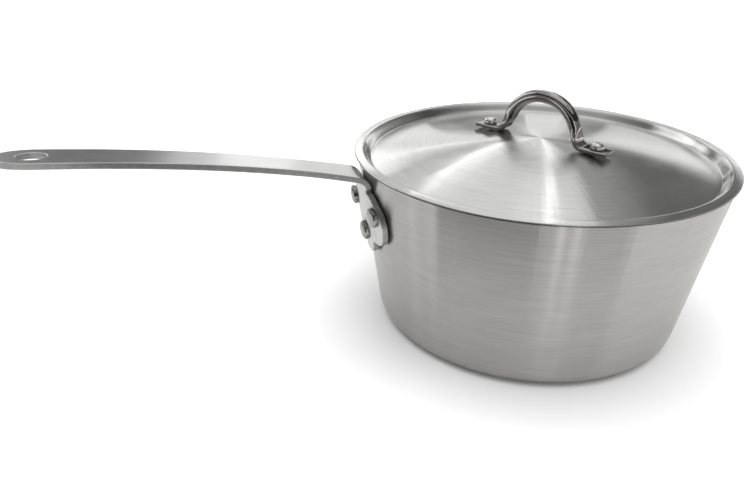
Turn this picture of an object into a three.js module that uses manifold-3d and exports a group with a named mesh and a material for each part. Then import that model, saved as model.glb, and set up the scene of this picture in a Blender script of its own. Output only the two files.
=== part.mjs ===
// Long-handled saucepan of spun aluminium with a lift-off lid.
// The pot carries a flat-bar handle on three rivets; the lid carries an arched grip on two rivets.
// Millimetres, +Z up. The origin is the middle of the pot's base and the long handle points along -X.
import * as THREE from "three";
import { mergeVertices } from "three/addons/utils/BufferGeometryUtils.js";
import Module from "manifold-3d";

const wasm = await Module();
wasm.setup();

// Clearance left between pieces that touch, and around each rivet's shank.
const FIT_GAP = 0.3;

// Pot: a tapered body with a plain cut rim.
const POT_HEIGHT = 99.6;
const POT_RIM_RADIUS = 103.4;
const POT_BASE_RADIUS = 88.4;
const POT_WALL = 2.0;
const POT_FLOOR = 3.0;
const POT_CORNER_RADIUS = 10.5;
const POT_RIM_ROUND = 0.6;

// Lid: a low crown, a groove, a step up that drops inside the rim, and a flat lip that rests on it.
const LID_SHEET = 1.2;
const LID_OVERHANG = 1.6;
const LID_PLUG_CLEARANCE = 0.4;
const LID_STEP_WIDTH = 5.3;
const LID_GROOVE_DEPTH = 4.7;
const LID_CROWN_RISE = 11.0;
const LID_CENTRE_SLOPE = 1.2;
const LID_LIP_EDGE = 0.35;
const LID_TURN = -61;

// Lid grip: a round bar bent into an arch, flattened into two feet.
const GRIP_BAR_WIDTH = 7.6;
const GRIP_BAR_DEPTH = 7.0;
const GRIP_TOP_ABOVE_LIP = 32.9;
const GRIP_CREST_FLAT = 1.2;
const GRIP_LEG_LEAN = 22;
const GRIP_LEG_OUT = 24.2;
const GRIP_FOOT_BEND = 5.0;
const GRIP_FLATTENED_RUN = 7.5;
const GRIP_FOOT_WIDTH = 9.6;
const GRIP_FOOT_THICK = 2.4;
const GRIP_FOOT_SQUARENESS = 0.2;
const GRIP_RIVET_FROM_LEG = 10.4;
const GRIP_FOOT_BEYOND_RIVET = 7.4;

// Lid rivets.
const LID_RIVET_SHANK_RADIUS = 2.2;
const LID_RIVET_HEAD_RADIUS = 3.9;
const LID_RIVET_HEAD_HEIGHT = 2.9;
const LID_RIVET_HEAD_ROUND = 2.0;
const LID_RIVET_TAIL_RADIUS = 3.6;
const LID_RIVET_TAIL_HEIGHT = 1.6;

// Long handle: a flat bar that rises from the pot, and turns down at its root into a riveted flange.
const HANDLE_THICK = 3.3;
const HANDLE_REACH = 279;
const HANDLE_NECK_WIDTH = 20.8;
const HANDLE_WAIST_WIDTH = 18.5;
const HANDLE_WAIST_FROM_RIM = 35;
const HANDLE_TIP_WIDTH = 21.3;
const HANDLE_TIP_ROUND = 18;
const HANDLE_ROOT_BELOW_RIM = 3.3;
const HANDLE_TIP_ABOVE_RIM = 21.0;
const HANDLE_ROOT_SLOPE = 13.2;
const HANDLE_TIP_SLOPE = 3.2;
const HANDLE_BEND_INSIDE = 6.0;
const HANG_HOLE_LENGTH = 13.2;
const HANG_HOLE_WIDTH = 10.5;
const HANG_HOLE_FROM_TIP = 17.6;

// Flange: two wings and a tongue, a little flatter than the wall so that the wings stand off it.
const FLANGE_FLATTER_BY = 16;
const WING_BEYOND_RIVET = 8.1;
const WING_ABOVE_RIVET = 10.8;
const WING_SHOULDER_ABOVE_RIVET = 1.2;
const WING_BELOW_RIVET = 15.9;
const WING_SHOULDER_ROUND = 13.0;
const WING_TOE_ROUND = 8.0;
const WING_TOE_INSET = 3.0;
const NECK_NOTCH_RADIUS = 1.6;
const TONGUE_HALF_WIDTH = 8.3;
const TONGUE_BELOW_RIVET = 11.9;
const TONGUE_ROUND = 5.8;
const TONGUE_NARROWING = 1.6;
const TONGUE_NOTCH_DROP = 2.4;
const TONGUE_NOTCH_ROUND = 1.6;

// Handle rivets: two side by side above, one below.
const UPPER_RIVETS_BELOW_RIM = 22.1;
const LOWER_RIVET_BELOW_RIM = 36.7;
const UPPER_RIVET_SPACING = 34.2;
const RIVET_SHANK_RADIUS = 2.8;
const RIVET_HEAD_RADIUS = 5.25;
const RIVET_HEAD_HEIGHT = 3.5;
const RIVET_HEAD_ROUND = 0.9;
const RIVET_TAIL_RADIUS = 4.7;
const RIVET_TAIL_HEIGHT = 1.9;

// Fineness of the round surfaces.
const ROUND_SEGMENTS = 72;
const HANDLE_SEGMENTS = 120;
const RIVET_SEGMENTS = 16;
const ARC_STEPS = 2;
const CROWN_STEPS = 6;
const STEP_STEPS = 6;
const HANDLE_STEPS = 14;
const OUTLINE_STEPS = 8;
const GRIP_STEPS = 30;
const GRIP_SIDES = 16;
const MERGE_WITHIN = 1e-4;

// Sizes that follow from the ones above.
const taper = Math.atan2(POT_RIM_RADIUS - POT_BASE_RADIUS, POT_HEIGHT);
const wallSlope = Math.tan(taper);
const wallAcross = POT_WALL / Math.cos(taper);
const wallRadius = (z) => POT_BASE_RADIUS + wallSlope * z;
const mouthRadius = POT_RIM_RADIUS - wallAcross;
const upperRivetZ = POT_HEIGHT - UPPER_RIVETS_BELOW_RIM;
const lowerRivetZ = POT_HEIGHT - LOWER_RIVET_BELOW_RIM;
const degrees = THREE.MathUtils.degToRad;

const lipMidZ = POT_HEIGHT + FIT_GAP + LID_SHEET / 2;
const lipRadius = POT_RIM_RADIUS + LID_OVERHANG;
const stepTopRadius = mouthRadius - LID_PLUG_CLEARANCE;
const grooveRadius = stepTopRadius - LID_STEP_WIDTH;
const grooveMidZ = lipMidZ - LID_GROOVE_DEPTH;
const crownMidZ = grooveMidZ + LID_CROWN_RISE;
const gripRivetOut = GRIP_LEG_OUT + GRIP_RIVET_FROM_LEG;

const neckHalf = HANDLE_NECK_WIDTH / 2;
const wingTopZ = upperRivetZ + WING_ABOVE_RIVET;

// Long enough to pass right through any piece.
const throughAll = 2 * lipRadius;

// Finishes.
const metal = (color, roughness) => new THREE.MeshStandardMaterial({ color, roughness, metalness: 1 });
const spunAluminium = () => metal(0xc9c9c7, 0.38);
const satinSteel = () => metal(0xbfc0c1, 0.3);
const rivetAluminium = () => metal(0xa9a9a8, 0.45);
const chromePlate = () => metal(0xd6d7d8, 0.08);

// A closed geometry as a solid that can be joined and cut. Triangles that close up at a pole are dropped.
function toSolid(geometry) {
  const bare = new THREE.BufferGeometry();
  const loose = geometry.index ? geometry.toNonIndexed() : geometry;
  bare.setAttribute("position", loose.getAttribute("position"));
  const merged = mergeVertices(bare, MERGE_WITHIN);
  const vertProperties = merged.getAttribute("position").array;
  const corners = merged.index.array;
  const kept = [];
  for (let i = 0; i < corners.length; i += 3) {
    const [a, b, c] = corners.slice(i, i + 3);
    if (a !== b && b !== c && c !== a) kept.push(a, b, c);
  }
  return new wasm.Manifold(new wasm.Mesh({ numProp: 3, vertProperties, triVerts: new Uint32Array(kept) }));
}

// A joined or cut solid back as a geometry.
function toGeometry(solid) {
  const mesh = solid.getMesh();
  const geometry = new THREE.BufferGeometry();
  geometry.setAttribute("position", new THREE.BufferAttribute(mesh.vertProperties, 3));
  geometry.setIndex(new THREE.BufferAttribute(mesh.triVerts, 1));
  geometry.computeVertexNormals();
  return geometry;
}

// Draws straight runs between corners [x, y, radius], with a tangent arc at each corner that has a radius.
function filleted(path, corners) {
  corners.forEach(([x, y, radius = 0], i) => {
    const corner = new THREE.Vector2(x, y);
    if (i === 0) {
      path.moveTo(x, y);
    } else if (radius === 0) {
      path.lineTo(x, y);
    } else {
      const next = corners[(i + 1) % corners.length];
      const back = new THREE.Vector2(corners[i - 1][0], corners[i - 1][1]).sub(corner).normalize();
      const ahead = new THREE.Vector2(next[0], next[1]).sub(corner).normalize();
      const half = Math.acos(THREE.MathUtils.clamp(back.dot(ahead), -1, 1)) / 2;
      const middle = back.clone().add(ahead).normalize().multiplyScalar(radius / Math.sin(half)).add(corner);
      const start = back.multiplyScalar(radius / Math.tan(half)).add(corner).sub(middle);
      const end = ahead.multiplyScalar(radius / Math.tan(half)).add(corner).sub(middle);
      path.lineTo(middle.x + start.x, middle.y + start.y);
      path.absarc(middle.x, middle.y, radius, start.angle(), end.angle(), start.cross(end) < 0);
    }
  });
  return path;
}

// A body turned about Z from a profile of (radius, height) points that runs up the outside.
function turned(points, segments) {
  return new THREE.LatheGeometry(points, segments).rotateX(Math.PI / 2);
}

// A round pin along Z between two heights.
function pin(radius, from, to) {
  const profile = [[0, from], [radius, from], [radius, to], [0, to]];
  return turned(profile.map(([r, z]) => new THREE.Vector2(r, z)), RIVET_SEGMENTS);
}

// Places geometry made along Z at a point, with its Z axis turned to a direction.
function aimed(geometry, point, direction) {
  const turn = new THREE.Quaternion().setFromUnitVectors(new THREE.Vector3(0, 0, 1), direction);
  return geometry.clone().applyQuaternion(turn).translate(point.x, point.y, point.z);
}

// Where a handle rivet meets the flange's outer face: the point, the outward direction, half way between
// the flange's and the wall's own, and how far the wall's inner face lies behind that point.
function flangeSeat(y, z) {
  const wall = wallRadius(z);
  const radius = wall + (FIT_GAP + HANDLE_THICK) / Math.cos(taper) + FLANGE_FLATTER_BY;
  const point = new THREE.Vector3(FLANGE_FLATTER_BY - Math.sqrt(radius * radius - y * y), y, z);
  const turn = Math.atan2(y, FLANGE_FLATTER_BY / 2 - point.x);
  const outward = new THREE.Vector3(-Math.cos(turn), Math.sin(turn), -wallSlope).normalize();
  const standOff = -point.x - Math.sqrt(wall * wall - y * y);
  return { point, outward, depth: standOff * Math.cos(taper) + POT_WALL };
}

const handleRivetSeats = {
  handle_rivet_upper_left: flangeSeat(UPPER_RIVET_SPACING / 2, upperRivetZ),
  handle_rivet_upper_right: flangeSeat(-UPPER_RIVET_SPACING / 2, upperRivetZ),
  handle_rivet_lower: flangeSeat(0, lowerRivetZ),
};

// Clearance holes for the three handle rivets, long enough to pass through flange and wall.
function handleRivetHoles() {
  return Object.values(handleRivetSeats).map(({ point, outward, depth }) =>
    toSolid(aimed(pin(RIVET_SHANK_RADIUS + FIT_GAP, -2 * depth, depth), point, outward)),
  );
}

function potBody() {
  const innerBase = wallRadius(POT_FLOOR) - wallAcross;
  const profile = filleted(new THREE.Path(), [
    [0, 0],
    [POT_BASE_RADIUS, 0, POT_CORNER_RADIUS],
    [POT_RIM_RADIUS, POT_HEIGHT, POT_RIM_ROUND],
    [mouthRadius, POT_HEIGHT, POT_RIM_ROUND],
    [innerBase, POT_FLOOR, POT_CORNER_RADIUS - POT_WALL],
    [0, POT_FLOOR],
  ]);
  let solid = toSolid(turned(profile.getPoints(ARC_STEPS), ROUND_SEGMENTS));
  for (const hole of handleRivetHoles()) solid = solid.subtract(hole);
  return toGeometry(solid);
}

// The sheet's middle line from the centre of the crown to the lip's edge, as points and tangents.
function lidMidline() {
  const half = grooveRadius / 2;
  const shoulderZ = crownMidZ - Math.tan(degrees(LID_CENTRE_SLOPE)) * half;
  const crown = new THREE.QuadraticBezierCurve(
    new THREE.Vector2(0, crownMidZ),
    new THREE.Vector2(half, shoulderZ),
    new THREE.Vector2(grooveRadius, grooveMidZ),
  );
  const lead = LID_STEP_WIDTH / 3;
  const crownEndSlope = (grooveMidZ - shoulderZ) / half;
  const step = new THREE.CubicBezierCurve(
    new THREE.Vector2(grooveRadius, grooveMidZ),
    new THREE.Vector2(grooveRadius + lead, grooveMidZ + crownEndSlope * lead),
    new THREE.Vector2(stepTopRadius - lead, lipMidZ),
    new THREE.Vector2(stepTopRadius, lipMidZ),
  );
  const lip = new THREE.LineCurve(
    new THREE.Vector2(stepTopRadius, lipMidZ),
    new THREE.Vector2(lipRadius - LID_LIP_EDGE, lipMidZ),
  );
  const samples = [];
  for (const [curve, steps] of [[crown, CROWN_STEPS], [step, STEP_STEPS], [lip, 1]]) {
    for (let i = samples.length ? 1 : 0; i <= steps; i++) {
      samples.push({ at: curve.getPoint(i / steps), along: curve.getTangent(i / steps) });
    }
  }
  return samples;
}

// Cuts clearance holes for the two lid rivets.
function withLidRivetHoles(solid) {
  const hole = pin(LID_RIVET_SHANK_RADIUS + FIT_GAP, 0, throughAll);
  const right = toSolid(hole.clone().translate(gripRivetOut, 0, 0));
  const left = toSolid(hole.clone().translate(-gripRivetOut, 0, 0));
  return solid.subtract(right).subtract(left);
}

// Height of the lid's upper face at a distance from its axis, on the crown.
function crownTopZ(radius) {
  const share = radius / grooveRadius;
  const shoulderDrop = (Math.tan(degrees(LID_CENTRE_SLOPE)) * grooveRadius) / 2;
  const drop = 2 * share * (1 - share) * shoulderDrop + share * share * LID_CROWN_RISE;
  return crownMidZ - drop + LID_SHEET / 2;
}

function lidBody() {
  const under = [];
  const over = [];
  for (const { at, along } of lidMidline()) {
    const up = new THREE.Vector2(-along.y, along.x).multiplyScalar(LID_SHEET / 2);
    const onAxis = at.x === 0;
    under.push(new THREE.Vector2(onAxis ? 0 : at.x - up.x, at.y - up.y));
    over.push(new THREE.Vector2(onAxis ? 0 : at.x + up.x, at.y + up.y));
  }
  const edge = new THREE.Vector2(lipRadius, lipMidZ);
  return toGeometry(withLidRivetHoles(toSolid(turned([...under, edge, ...over.reverse()], ROUND_SEGMENTS))));
}

// The feet are level and rest on the crown where the legs turn out into them.
const footUnderZ = crownTopZ(GRIP_LEG_OUT + GRIP_FOOT_BEND / 2) + FIT_GAP;
const footTopZ = footUnderZ + GRIP_FOOT_THICK;

// One half of the grip's middle line, as (distance out, height): crest, leaning leg, bend and foot.
function gripHalfPath() {
  const topZ = lipMidZ + LID_SHEET / 2 + GRIP_TOP_ABOVE_LIP - GRIP_BAR_DEPTH / 2;
  const footZ = footUnderZ + GRIP_FOOT_THICK / 2;
  const lean = degrees(GRIP_LEG_LEAN);
  const crestOut = GRIP_LEG_OUT - (topZ - footZ) * Math.tan(lean);
  const crestRadius = (crestOut - GRIP_CREST_FLAT) * Math.tan((Math.PI / 2 + lean) / 2);
  return filleted(new THREE.Path(), [
    [0, topZ],
    [crestOut, topZ, crestRadius],
    [GRIP_LEG_OUT, footZ, GRIP_FOOT_BEND],
    [gripRivetOut + GRIP_FOOT_BEYOND_RIVET, footZ],
  ]);
}

// The grip's section is an oval that squares up and flattens as the leg nears its foot.
function gripBody() {
  const half = gripHalfPath();
  const length = half.getLength();
  const [, , legEnd] = half.getCurveLengths();
  const rings = [];
  for (let i = -GRIP_STEPS; i <= GRIP_STEPS; i++) {
    const share = Math.abs(i) / GRIP_STEPS;
    const side = i < 0 ? -1 : 1;
    const at = half.getPointAt(share);
    const along = half.getTangentAt(share);
    const flat = THREE.MathUtils.smoothstep(share * length, legEnd - GRIP_FLATTENED_RUN, legEnd);
    const halfWidth = THREE.MathUtils.lerp(GRIP_BAR_WIDTH, GRIP_FOOT_WIDTH, flat) / 2;
    const halfDepth = THREE.MathUtils.lerp(GRIP_BAR_DEPTH, GRIP_FOOT_THICK, flat) / 2;
    const power = THREE.MathUtils.lerp(1, GRIP_FOOT_SQUARENESS, flat);
    const ring = [];
    for (let k = 0; k < GRIP_SIDES; k++) {
      const angle = (2 * Math.PI * (k + 0.5)) / GRIP_SIDES;
      const across = halfWidth * Math.sign(Math.cos(angle)) * Math.abs(Math.cos(angle)) ** power;
      const out = halfDepth * Math.sign(Math.sin(angle)) * Math.abs(Math.sin(angle)) ** power;
      ring.push(new THREE.Vector3(side * (at.x - out * along.y), across, at.y + out * along.x));
    }
    rings.push(ring);
  }
  return toGeometry(withLidRivetHoles(toSolid(lofted(rings))));
}

// A closed skin over rings of equal count, with flat ends.
function lofted(rings) {
  const sides = rings[0].length;
  const points = rings.flat();
  const triangles = [];
  for (let i = 0; i + 1 < rings.length; i++) {
    for (let k = 0; k < sides; k++) {
      const a = i * sides + k;
      const b = i * sides + ((k + 1) % sides);
      triangles.push(a, b, a + sides, b, b + sides, a + sides);
    }
  }
  const last = points.length - sides;
  for (let k = 1; k + 1 < sides; k++) {
    triangles.push(0, k + 1, k, last, last + k, last + k + 1);
  }
  const geometry = new THREE.BufferGeometry().setFromPoints(points);
  geometry.setIndex(triangles);
  return geometry;
}

// A rivet along Z: its head stands on z = 0 and its tail is formed at the far end of the shank.
function rivet({ shank, head, headHeight, headRound, tail, tailHeight, grip }) {
  const tailTop = -grip - FIT_GAP;
  const profile = filleted(new THREE.Path(), [
    [0, tailTop - tailHeight],
    [tail, tailTop - tailHeight, tailHeight / 2],
    [tail, tailTop],
    [shank, tailTop],
    [shank, FIT_GAP],
    [head, FIT_GAP],
    [head, FIT_GAP + headHeight, headRound],
    [0, FIT_GAP + headHeight],
  ]);
  return toGeometry(toSolid(turned(profile.getPoints(ARC_STEPS), RIVET_SEGMENTS)));
}

// Side view of the handle, as (distance from the pot's axis, height): the bar's rise, the bend at its root
// and the flange that runs down the wall, past where the tongue is trimmed.
function handleSideShape() {
  const rise = degrees(HANDLE_ROOT_SLOPE);
  const bendOutside = HANDLE_BEND_INSIDE + HANDLE_THICK;
  const cornerZ = POT_HEIGHT - HANDLE_ROOT_BELOW_RIM;
  const corner = new THREE.Vector2(wallRadius(cornerZ) + FIT_GAP / Math.cos(taper), cornerZ);
  const barWay = new THREE.Vector2(Math.cos(rise), Math.sin(rise));
  const wallWay = new THREE.Vector2(-Math.sin(taper), -Math.cos(taper));
  const half = Math.acos(barWay.dot(wallWay)) / 2;
  const midWay = barWay.clone().add(wallWay).normalize();
  const bendAt = corner.clone().addScaledVector(midWay, bendOutside / Math.sin(half));
  const barAngle = rise + Math.PI / 2;
  const wallAngle = Math.PI - taper;

  const start = corner.clone().addScaledVector(barWay, bendOutside / Math.tan(half));
  const tip = new THREE.Vector2(HANDLE_REACH, POT_HEIGHT + HANDLE_TIP_ABOVE_RIM);
  const third = (tip.x - start.x) / 3;
  const top = new THREE.CubicBezierCurve(
    start,
    new THREE.Vector2(start.x + third, start.y + third * Math.tan(rise)),
    new THREE.Vector2(tip.x - third, tip.y - third * Math.tan(degrees(HANDLE_TIP_SLOPE))),
    tip,
  );
  const pastTongue = lowerRivetZ - 2 * TONGUE_BELOW_RIVET;
  const inner = wallRadius(pastTongue) + FIT_GAP / Math.cos(taper);

  const shape = new THREE.Shape();
  shape.moveTo(tip.x, tip.y);
  for (let i = HANDLE_STEPS - 1; i >= 0; i--) {
    const at = top.getPoint(i / HANDLE_STEPS);
    shape.lineTo(at.x, at.y);
  }
  shape.absarc(bendAt.x, bendAt.y, bendOutside, barAngle, wallAngle, false);
  shape.lineTo(inner, pastTongue);
  shape.lineTo(inner + HANDLE_THICK / Math.cos(taper), pastTongue);
  shape.absarc(bendAt.x, bendAt.y, HANDLE_BEND_INSIDE, wallAngle, barAngle, true);
  for (let i = 1; i <= HANDLE_STEPS; i++) {
    const at = top.getPoint(i / HANDLE_STEPS);
    const along = top.getTangent(i / HANDLE_STEPS);
    shape.lineTo(at.x + along.y * HANDLE_THICK, at.y - along.x * HANDLE_THICK);
  }
  return shape;
}

// Plan view of the bar, as (distance from the axis, sideways), with its rounded end and hanging hole.
function handlePlanShape() {
  const roundFrom = HANDLE_REACH - HANDLE_TIP_ROUND;
  const neckFrom = POT_RIM_RADIUS + HANDLE_BEND_INSIDE;
  const waistAt = POT_RIM_RADIUS + HANDLE_WAIST_FROM_RIM;
  const flareAt = (neckFrom + waistAt) / 2;
  const waistHalf = HANDLE_WAIST_WIDTH / 2;
  const tipHalf = HANDLE_TIP_WIDTH / 2;
  const shape = new THREE.Shape();
  shape.moveTo(0, -neckHalf);
  shape.lineTo(neckFrom, -neckHalf);
  shape.quadraticCurveTo(flareAt, -waistHalf, waistAt, -waistHalf);
  shape.lineTo(roundFrom, -tipHalf);
  shape.absellipse(roundFrom, 0, HANDLE_TIP_ROUND, tipHalf, -Math.PI / 2, Math.PI / 2, false, 0);
  shape.lineTo(waistAt, waistHalf);
  shape.quadraticCurveTo(flareAt, waistHalf, neckFrom, neckHalf);
  shape.lineTo(0, neckHalf);
  const hole = new THREE.Path();
  const holeAt = HANDLE_REACH - HANG_HOLE_FROM_TIP;
  hole.absellipse(holeAt, 0, HANG_HOLE_LENGTH / 2, HANG_HOLE_WIDTH / 2, 0, 2 * Math.PI, false, 0);
  shape.holes.push(hole);
  return shape;
}

// Front view of the flange below its neck, as (sideways, height): two wings and a tongue between them.
function flangeShape() {
  const wingOut = UPPER_RIVET_SPACING / 2 + WING_BEYOND_RIVET;
  const wingFootZ = upperRivetZ - WING_BELOW_RIVET;
  const half = [
    [neckHalf + NECK_NOTCH_RADIUS, wingTopZ],
    [wingOut, upperRivetZ + WING_SHOULDER_ABOVE_RIVET, WING_SHOULDER_ROUND],
    [wingOut - WING_TOE_INSET, wingFootZ, WING_TOE_ROUND],
    [TONGUE_HALF_WIDTH, wingFootZ - TONGUE_NOTCH_DROP, TONGUE_NOTCH_ROUND],
    [TONGUE_HALF_WIDTH - TONGUE_NARROWING, lowerRivetZ - TONGUE_BELOW_RIVET, TONGUE_ROUND],
  ];
  const mirrored = half.map(([y, z, radius]) => [-y, z, radius]).reverse();
  return filleted(new THREE.Shape(), [...half, ...mirrored]);
}

// Extrudes a flat shape by a depth, then lays its x, y and depth along the given directions.
function slab(shape, from, depth, xWay, yWay, depthWay) {
  const settings = { depth, bevelEnabled: false, curveSegments: OUTLINE_STEPS };
  const geometry = new THREE.ExtrudeGeometry(shape, settings).translate(0, 0, from);
  return toSolid(geometry.applyMatrix4(new THREE.Matrix4().makeBasis(xWay, yWay, depthWay)));
}

// The side view is swept round the flange's own axis, so that the bend and the flange curve with the wall,
// and is then trimmed to the bar's plan and the flange's front view.
function handleBody() {
  const outward = new THREE.Vector3(-1, 0, 0);
  const inward = new THREE.Vector3(1, 0, 0);
  const left = new THREE.Vector3(0, 1, 0);
  const right = new THREE.Vector3(0, -1, 0);
  const up = new THREE.Vector3(0, 0, 1);
  const section = handleSideShape().getPoints(OUTLINE_STEPS / 2);
  const loop = [...section, section[0]].map((at) => new THREE.Vector2(at.x + FLANGE_FLATTER_BY, at.y));
  const swept = toSolid(turned(loop, HANDLE_SEGMENTS).translate(FLANGE_FLATTER_BY, 0, 0));

  const bar = slab(handlePlanShape(), upperRivetZ, throughAll, outward, right, up);
  const flange = slab(flangeShape(), -throughAll, throughAll, left, up, inward);
  let solid = swept.intersect(bar.add(flange));
  for (const y of [-neckHalf, neckHalf]) {
    const notch = aimed(
      pin(NECK_NOTCH_RADIUS, 0, throughAll),
      new THREE.Vector3(0, y, wingTopZ + NECK_NOTCH_RADIUS / 2),
      outward,
    );
    solid = solid.subtract(toSolid(notch));
  }
  for (const hole of handleRivetHoles()) solid = solid.subtract(hole);
  return toGeometry(solid);
}

function named(name, geometry, material) {
  const mesh = new THREE.Mesh(geometry, material);
  mesh.name = name;
  return mesh;
}

const pot = new THREE.Group();
pot.add(named("pot_body", potBody(), spunAluminium()));
pot.add(named("long_handle", handleBody(), satinSteel()));
for (const [name, { point, outward, depth }] of Object.entries(handleRivetSeats)) {
  const geometry = rivet({
    shank: RIVET_SHANK_RADIUS,
    head: RIVET_HEAD_RADIUS,
    headHeight: RIVET_HEAD_HEIGHT,
    headRound: RIVET_HEAD_ROUND,
    tail: RIVET_TAIL_RADIUS,
    tailHeight: RIVET_TAIL_HEIGHT,
    grip: depth,
  });
  pot.add(named(name, aimed(geometry, point, outward), rivetAluminium()));
}

const lid = new THREE.Group();
lid.rotation.z = degrees(LID_TURN);
lid.add(named("lid", lidBody(), spunAluminium()));
lid.add(named("lid_handle", gripBody(), chromePlate()));
for (const [name, side] of [["lid_rivet_left", -1], ["lid_rivet_right", 1]]) {
  const underLid = crownTopZ(gripRivetOut + LID_RIVET_TAIL_RADIUS) - LID_SHEET;
  const mesh = named(
    name,
    rivet({
      shank: LID_RIVET_SHANK_RADIUS,
      head: LID_RIVET_HEAD_RADIUS,
      headHeight: LID_RIVET_HEAD_HEIGHT,
      headRound: LID_RIVET_HEAD_ROUND,
      tail: LID_RIVET_TAIL_RADIUS,
      tailHeight: LID_RIVET_TAIL_HEIGHT,
      grip: footTopZ - underLid,
    }),
    rivetAluminium(),
  );
  mesh.position.set(side * gripRivetOut, 0, footTopZ);
  lid.add(mesh);
}

const saucepan = new THREE.Group();
saucepan.add(pot, lid);
export default saucepan;
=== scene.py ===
"""Long-handled saucepan with a lift-off lid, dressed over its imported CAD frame.

Every piece is a surface worked out with numpy: turned pieces are a profile carried round an axis, the grip
is a section carried along an arch, and the handle is a plate section carried along its trimmed outline.
Lengths are metres in the CAD frame: Z is up, the pot's axis is the origin and the handle points along -X.
"""

import math

import bmesh
import bpy
import numpy as np
from bpy.props import FloatProperty, FloatVectorProperty, PointerProperty
from mathutils import Matrix, Vector


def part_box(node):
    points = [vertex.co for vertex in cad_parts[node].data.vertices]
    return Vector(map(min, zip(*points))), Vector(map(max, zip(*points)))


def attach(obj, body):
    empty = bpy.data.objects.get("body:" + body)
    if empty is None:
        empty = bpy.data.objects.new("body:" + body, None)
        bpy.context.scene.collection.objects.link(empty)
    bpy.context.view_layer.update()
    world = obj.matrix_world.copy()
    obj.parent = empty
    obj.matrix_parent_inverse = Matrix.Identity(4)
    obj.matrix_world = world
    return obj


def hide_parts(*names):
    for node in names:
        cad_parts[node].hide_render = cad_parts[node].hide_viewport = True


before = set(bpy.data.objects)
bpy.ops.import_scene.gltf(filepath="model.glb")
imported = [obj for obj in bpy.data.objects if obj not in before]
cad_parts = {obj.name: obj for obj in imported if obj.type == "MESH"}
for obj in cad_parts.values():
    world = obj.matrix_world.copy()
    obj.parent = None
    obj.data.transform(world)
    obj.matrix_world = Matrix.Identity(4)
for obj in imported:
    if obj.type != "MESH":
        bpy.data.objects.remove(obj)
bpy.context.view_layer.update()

bl_info = {
    "name": "Long-handled saucepan",
    "version": (1, 0, 0),
    "blender": (4, 5, 0),
    "location": "View3D > Sidebar > Saucepan",
    "description": "Builds a spun aluminium saucepan with a flat-bar handle and a lift-off lid",
    "category": "Add Mesh",
}

MM = 0.001
FIT_GAP = 0.3 * MM

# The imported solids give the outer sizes.
POT_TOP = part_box("pot_body")[1]
LID_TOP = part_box("lid")[1]
GRIP_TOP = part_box("lid_handle")[1]
HANDLE_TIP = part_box("long_handle")[0]

# How finely the surfaces are divided.
TURNS = 256
RIVET_TURNS = 48
FILLET_STEPS = 8
CROWN_STEPS = 48
STEP_STEPS = 24
EDGE_STEPS = 5
GRIP_STEPS = 90
GRIP_SIDES = 40
BAR_STEPS = 240
BEND_STEPS = 59
FLANGE_STEPS = 59
TIP_STEPS = 24
SIDE_STEPS = 39
FLARE_STEPS = 16
NECK_STEPS = 23
HOLE_STEPS = 40
ACROSS_STEPS = 8
WELD_WITHIN = 1e-6
SHARP_ANGLE = math.radians(38)

# What each mesh carries besides its points: a map of the surface, and how far a point is darkened, on a cut
# edge and as painted shade.
SURFACE_MAP = "surface"
CUT_AND_SHADE_MASK = "cut_and_shade"

# The picture is 751 by 496, and this camera was fitted to the pan's rim, base and wall.
SENSOR_WIDTH = 36.0
CAMERA_LENS = 31.84
CAMERA_NEAR = 0.01
CAMERA_PLACE = Vector((-0.19217, -0.32247, 0.21971))
CAMERA_AHEAD = Vector((0.253685, 0.856428, -0.44966))
CAMERA_UP = Vector((0.119827, 0.433462, 0.89318))
CAMERA_TURN = math.atan2(CAMERA_PLACE.y, CAMERA_PLACE.x)


# Sizes and colours.


def length(name, description, default):
    """A property that holds a length in metres."""
    return FloatProperty(name=name, description=description, default=default, unit="LENGTH", precision=5)


def angle(name, description, degrees):
    """A property that holds an angle, given here in degrees."""
    return FloatProperty(name=name, description=description, default=math.radians(degrees), subtype="ANGLE")


def share(name, description, default):
    """A property that holds a plain number between nothing and one."""
    return FloatProperty(
        name=name, description=description, default=default, min=0.0, max=1.0, subtype="FACTOR"
    )


def colour(name, description, default):
    """A property that holds a metal's colour."""
    return FloatVectorProperty(
        name=name, description=description, default=default, size=3, min=0.0, max=1.0, subtype="COLOR"
    )


class PotSizes(bpy.types.PropertyGroup):
    """Sizes of the spun pot."""

    height: length("Height", "Rim above the table", POT_TOP.z)
    rim_radius: length("Rim radius", "Outside of the wall at the rim", POT_TOP.x)
    base_radius: length("Base radius", "Wall line carried down to the table", 88.4 * MM)
    wall: length("Wall", "Thickness of the wall", 2.0 * MM)
    floor: length("Floor", "Thickness of the floor", 3.0 * MM)
    corner: length("Corner", "Outside rounding between wall and base", 10.5 * MM)
    rim_round: length("Rim rounding", "Rounding of the rim's two edges", 0.6 * MM)


class LidSizes(bpy.types.PropertyGroup):
    """Sizes of the lid's sheet."""

    lip_radius: length("Lip radius", "Outer edge of the lip", LID_TOP.x)
    sheet: length("Sheet", "Thickness of the sheet", 1.2 * MM)
    lip_fall: angle("Lip fall", "How far the lip slopes down towards its edge", 10.0)
    plug_clearance: length("Plug clearance", "Room between the step and the pot's mouth", 0.4 * MM)
    step_width: length("Step width", "Step between the groove and the lip", 5.3 * MM)
    groove_depth: length("Groove depth", "Groove below the lip", 4.7 * MM)
    crown_rise: length("Crown rise", "Centre above the groove", 11.0 * MM)
    centre_slope: angle("Centre slope", "How far the crown already falls at its centre", 1.2)
    turn: angle("Turn", "How the lid is turned on the pot", -61.0)


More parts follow.
